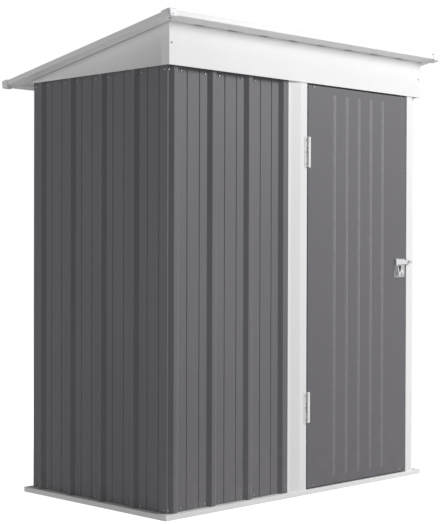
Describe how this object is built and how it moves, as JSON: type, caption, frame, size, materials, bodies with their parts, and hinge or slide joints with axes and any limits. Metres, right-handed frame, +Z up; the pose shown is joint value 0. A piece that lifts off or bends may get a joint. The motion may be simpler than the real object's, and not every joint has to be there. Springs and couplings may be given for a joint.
{
  "type": "metal tool shed",
  "caption": "Small lean-to shed of ribbed steel sheet with a single hinged door, a hasp latch, a white fascia and a sloping roof edged with capped trim.",
  "frame": {"origin": "on the ground, under the middle of the roof's plan", "axes": "+Z up, the door side faces -Y, +X to the right as seen from the front"},
  "size_m": [1.582, 0.991, 1.8064],
  "materials": {
    "base_white": "satin white paint on folded steel",
    "wall_grey": "satin dark grey coil coating on ribbed steel sheet",
    "frame_zinc": "dull zinc coating on rolled channels",
    "trim_white": "satin white paint on folded steel",
    "door_grey": "satin grey coil coating on flat steel with pressed beads",
    "door_frame_grey": "satin grey paint on folded channels",
    "hinge_white": "semi-gloss white paint",
    "latch_chrome": "bright plated steel",
    "roof_white": "satin white coil coating on ribbed steel sheet",
    "cap_white": "fine-grained moulded plastic"
  },
  "bodies": {
    "shed": {"base_rail_front": "base_white", "base_rail_back": "base_white", "base_rail_left": "base_white", "base_rail_right": "base_white", "front_panel": "wall_grey", "left_wall": "wall_grey", "right_wall": "wall_grey", "back_wall_left": "wall_grey", "back_wall_right": "wall_grey", "top_rail_front": "frame_zinc", "top_rail_back": "frame_zinc", "top_rail_left": "frame_zinc", "top_rail_right": "frame_zinc", "roof_beam_front": "frame_zinc", "roof_beam_rear": "frame_zinc", "gable_left": "trim_white", "gable_right": "trim_white", "front_fascia": "trim_white", "door_jamb_left": "trim_white", "door_jamb_right": "trim_white", "roof_trim_front": "trim_white", "roof_trim_back": "trim_white", "roof_trim_left": "trim_white", "roof_trim_right": "trim_white", "hinge_upper_jamb_leaf": "hinge_white", "hinge_lower_jamb_leaf": "hinge_white", "latch_staple": "latch_chrome", "roof_sheet_left": "roof_white", "roof_sheet_middle": "roof_white", "roof_sheet_right": "roof_white", "corner_cap_front_left": "cap_white", "corner_cap_front_right": "cap_white", "corner_cap_back_left": "cap_white", "corner_cap_back_right": "cap_white"},
    "door": {"door_panel": "door_grey", "door_stile_left": "door_frame_grey", "door_stile_right": "door_frame_grey", "door_rail_top": "door_frame_grey", "door_rail_bottom": "door_frame_grey", "hinge_upper_door_leaf": "hinge_white", "hinge_lower_door_leaf": "hinge_white", "latch_plate": "latch_chrome"},
    "hasp": {"hasp_strap": "latch_chrome"}
  },
  "joints": [
    {"name": "door_swing", "type": "hinge", "parent": "shed", "child": "door", "pos_m": [0.0115, -0.43224, 0.82], "axis": [0, 0, -1], "range_deg": [0, 110]},
    {"name": "hasp_swing", "type": "hinge", "parent": "door", "child": "hasp", "pos_m": [0.572, -0.43324, 0.914], "axis": [0, 0, -1], "range_deg": [0, 160]}
  ]
}
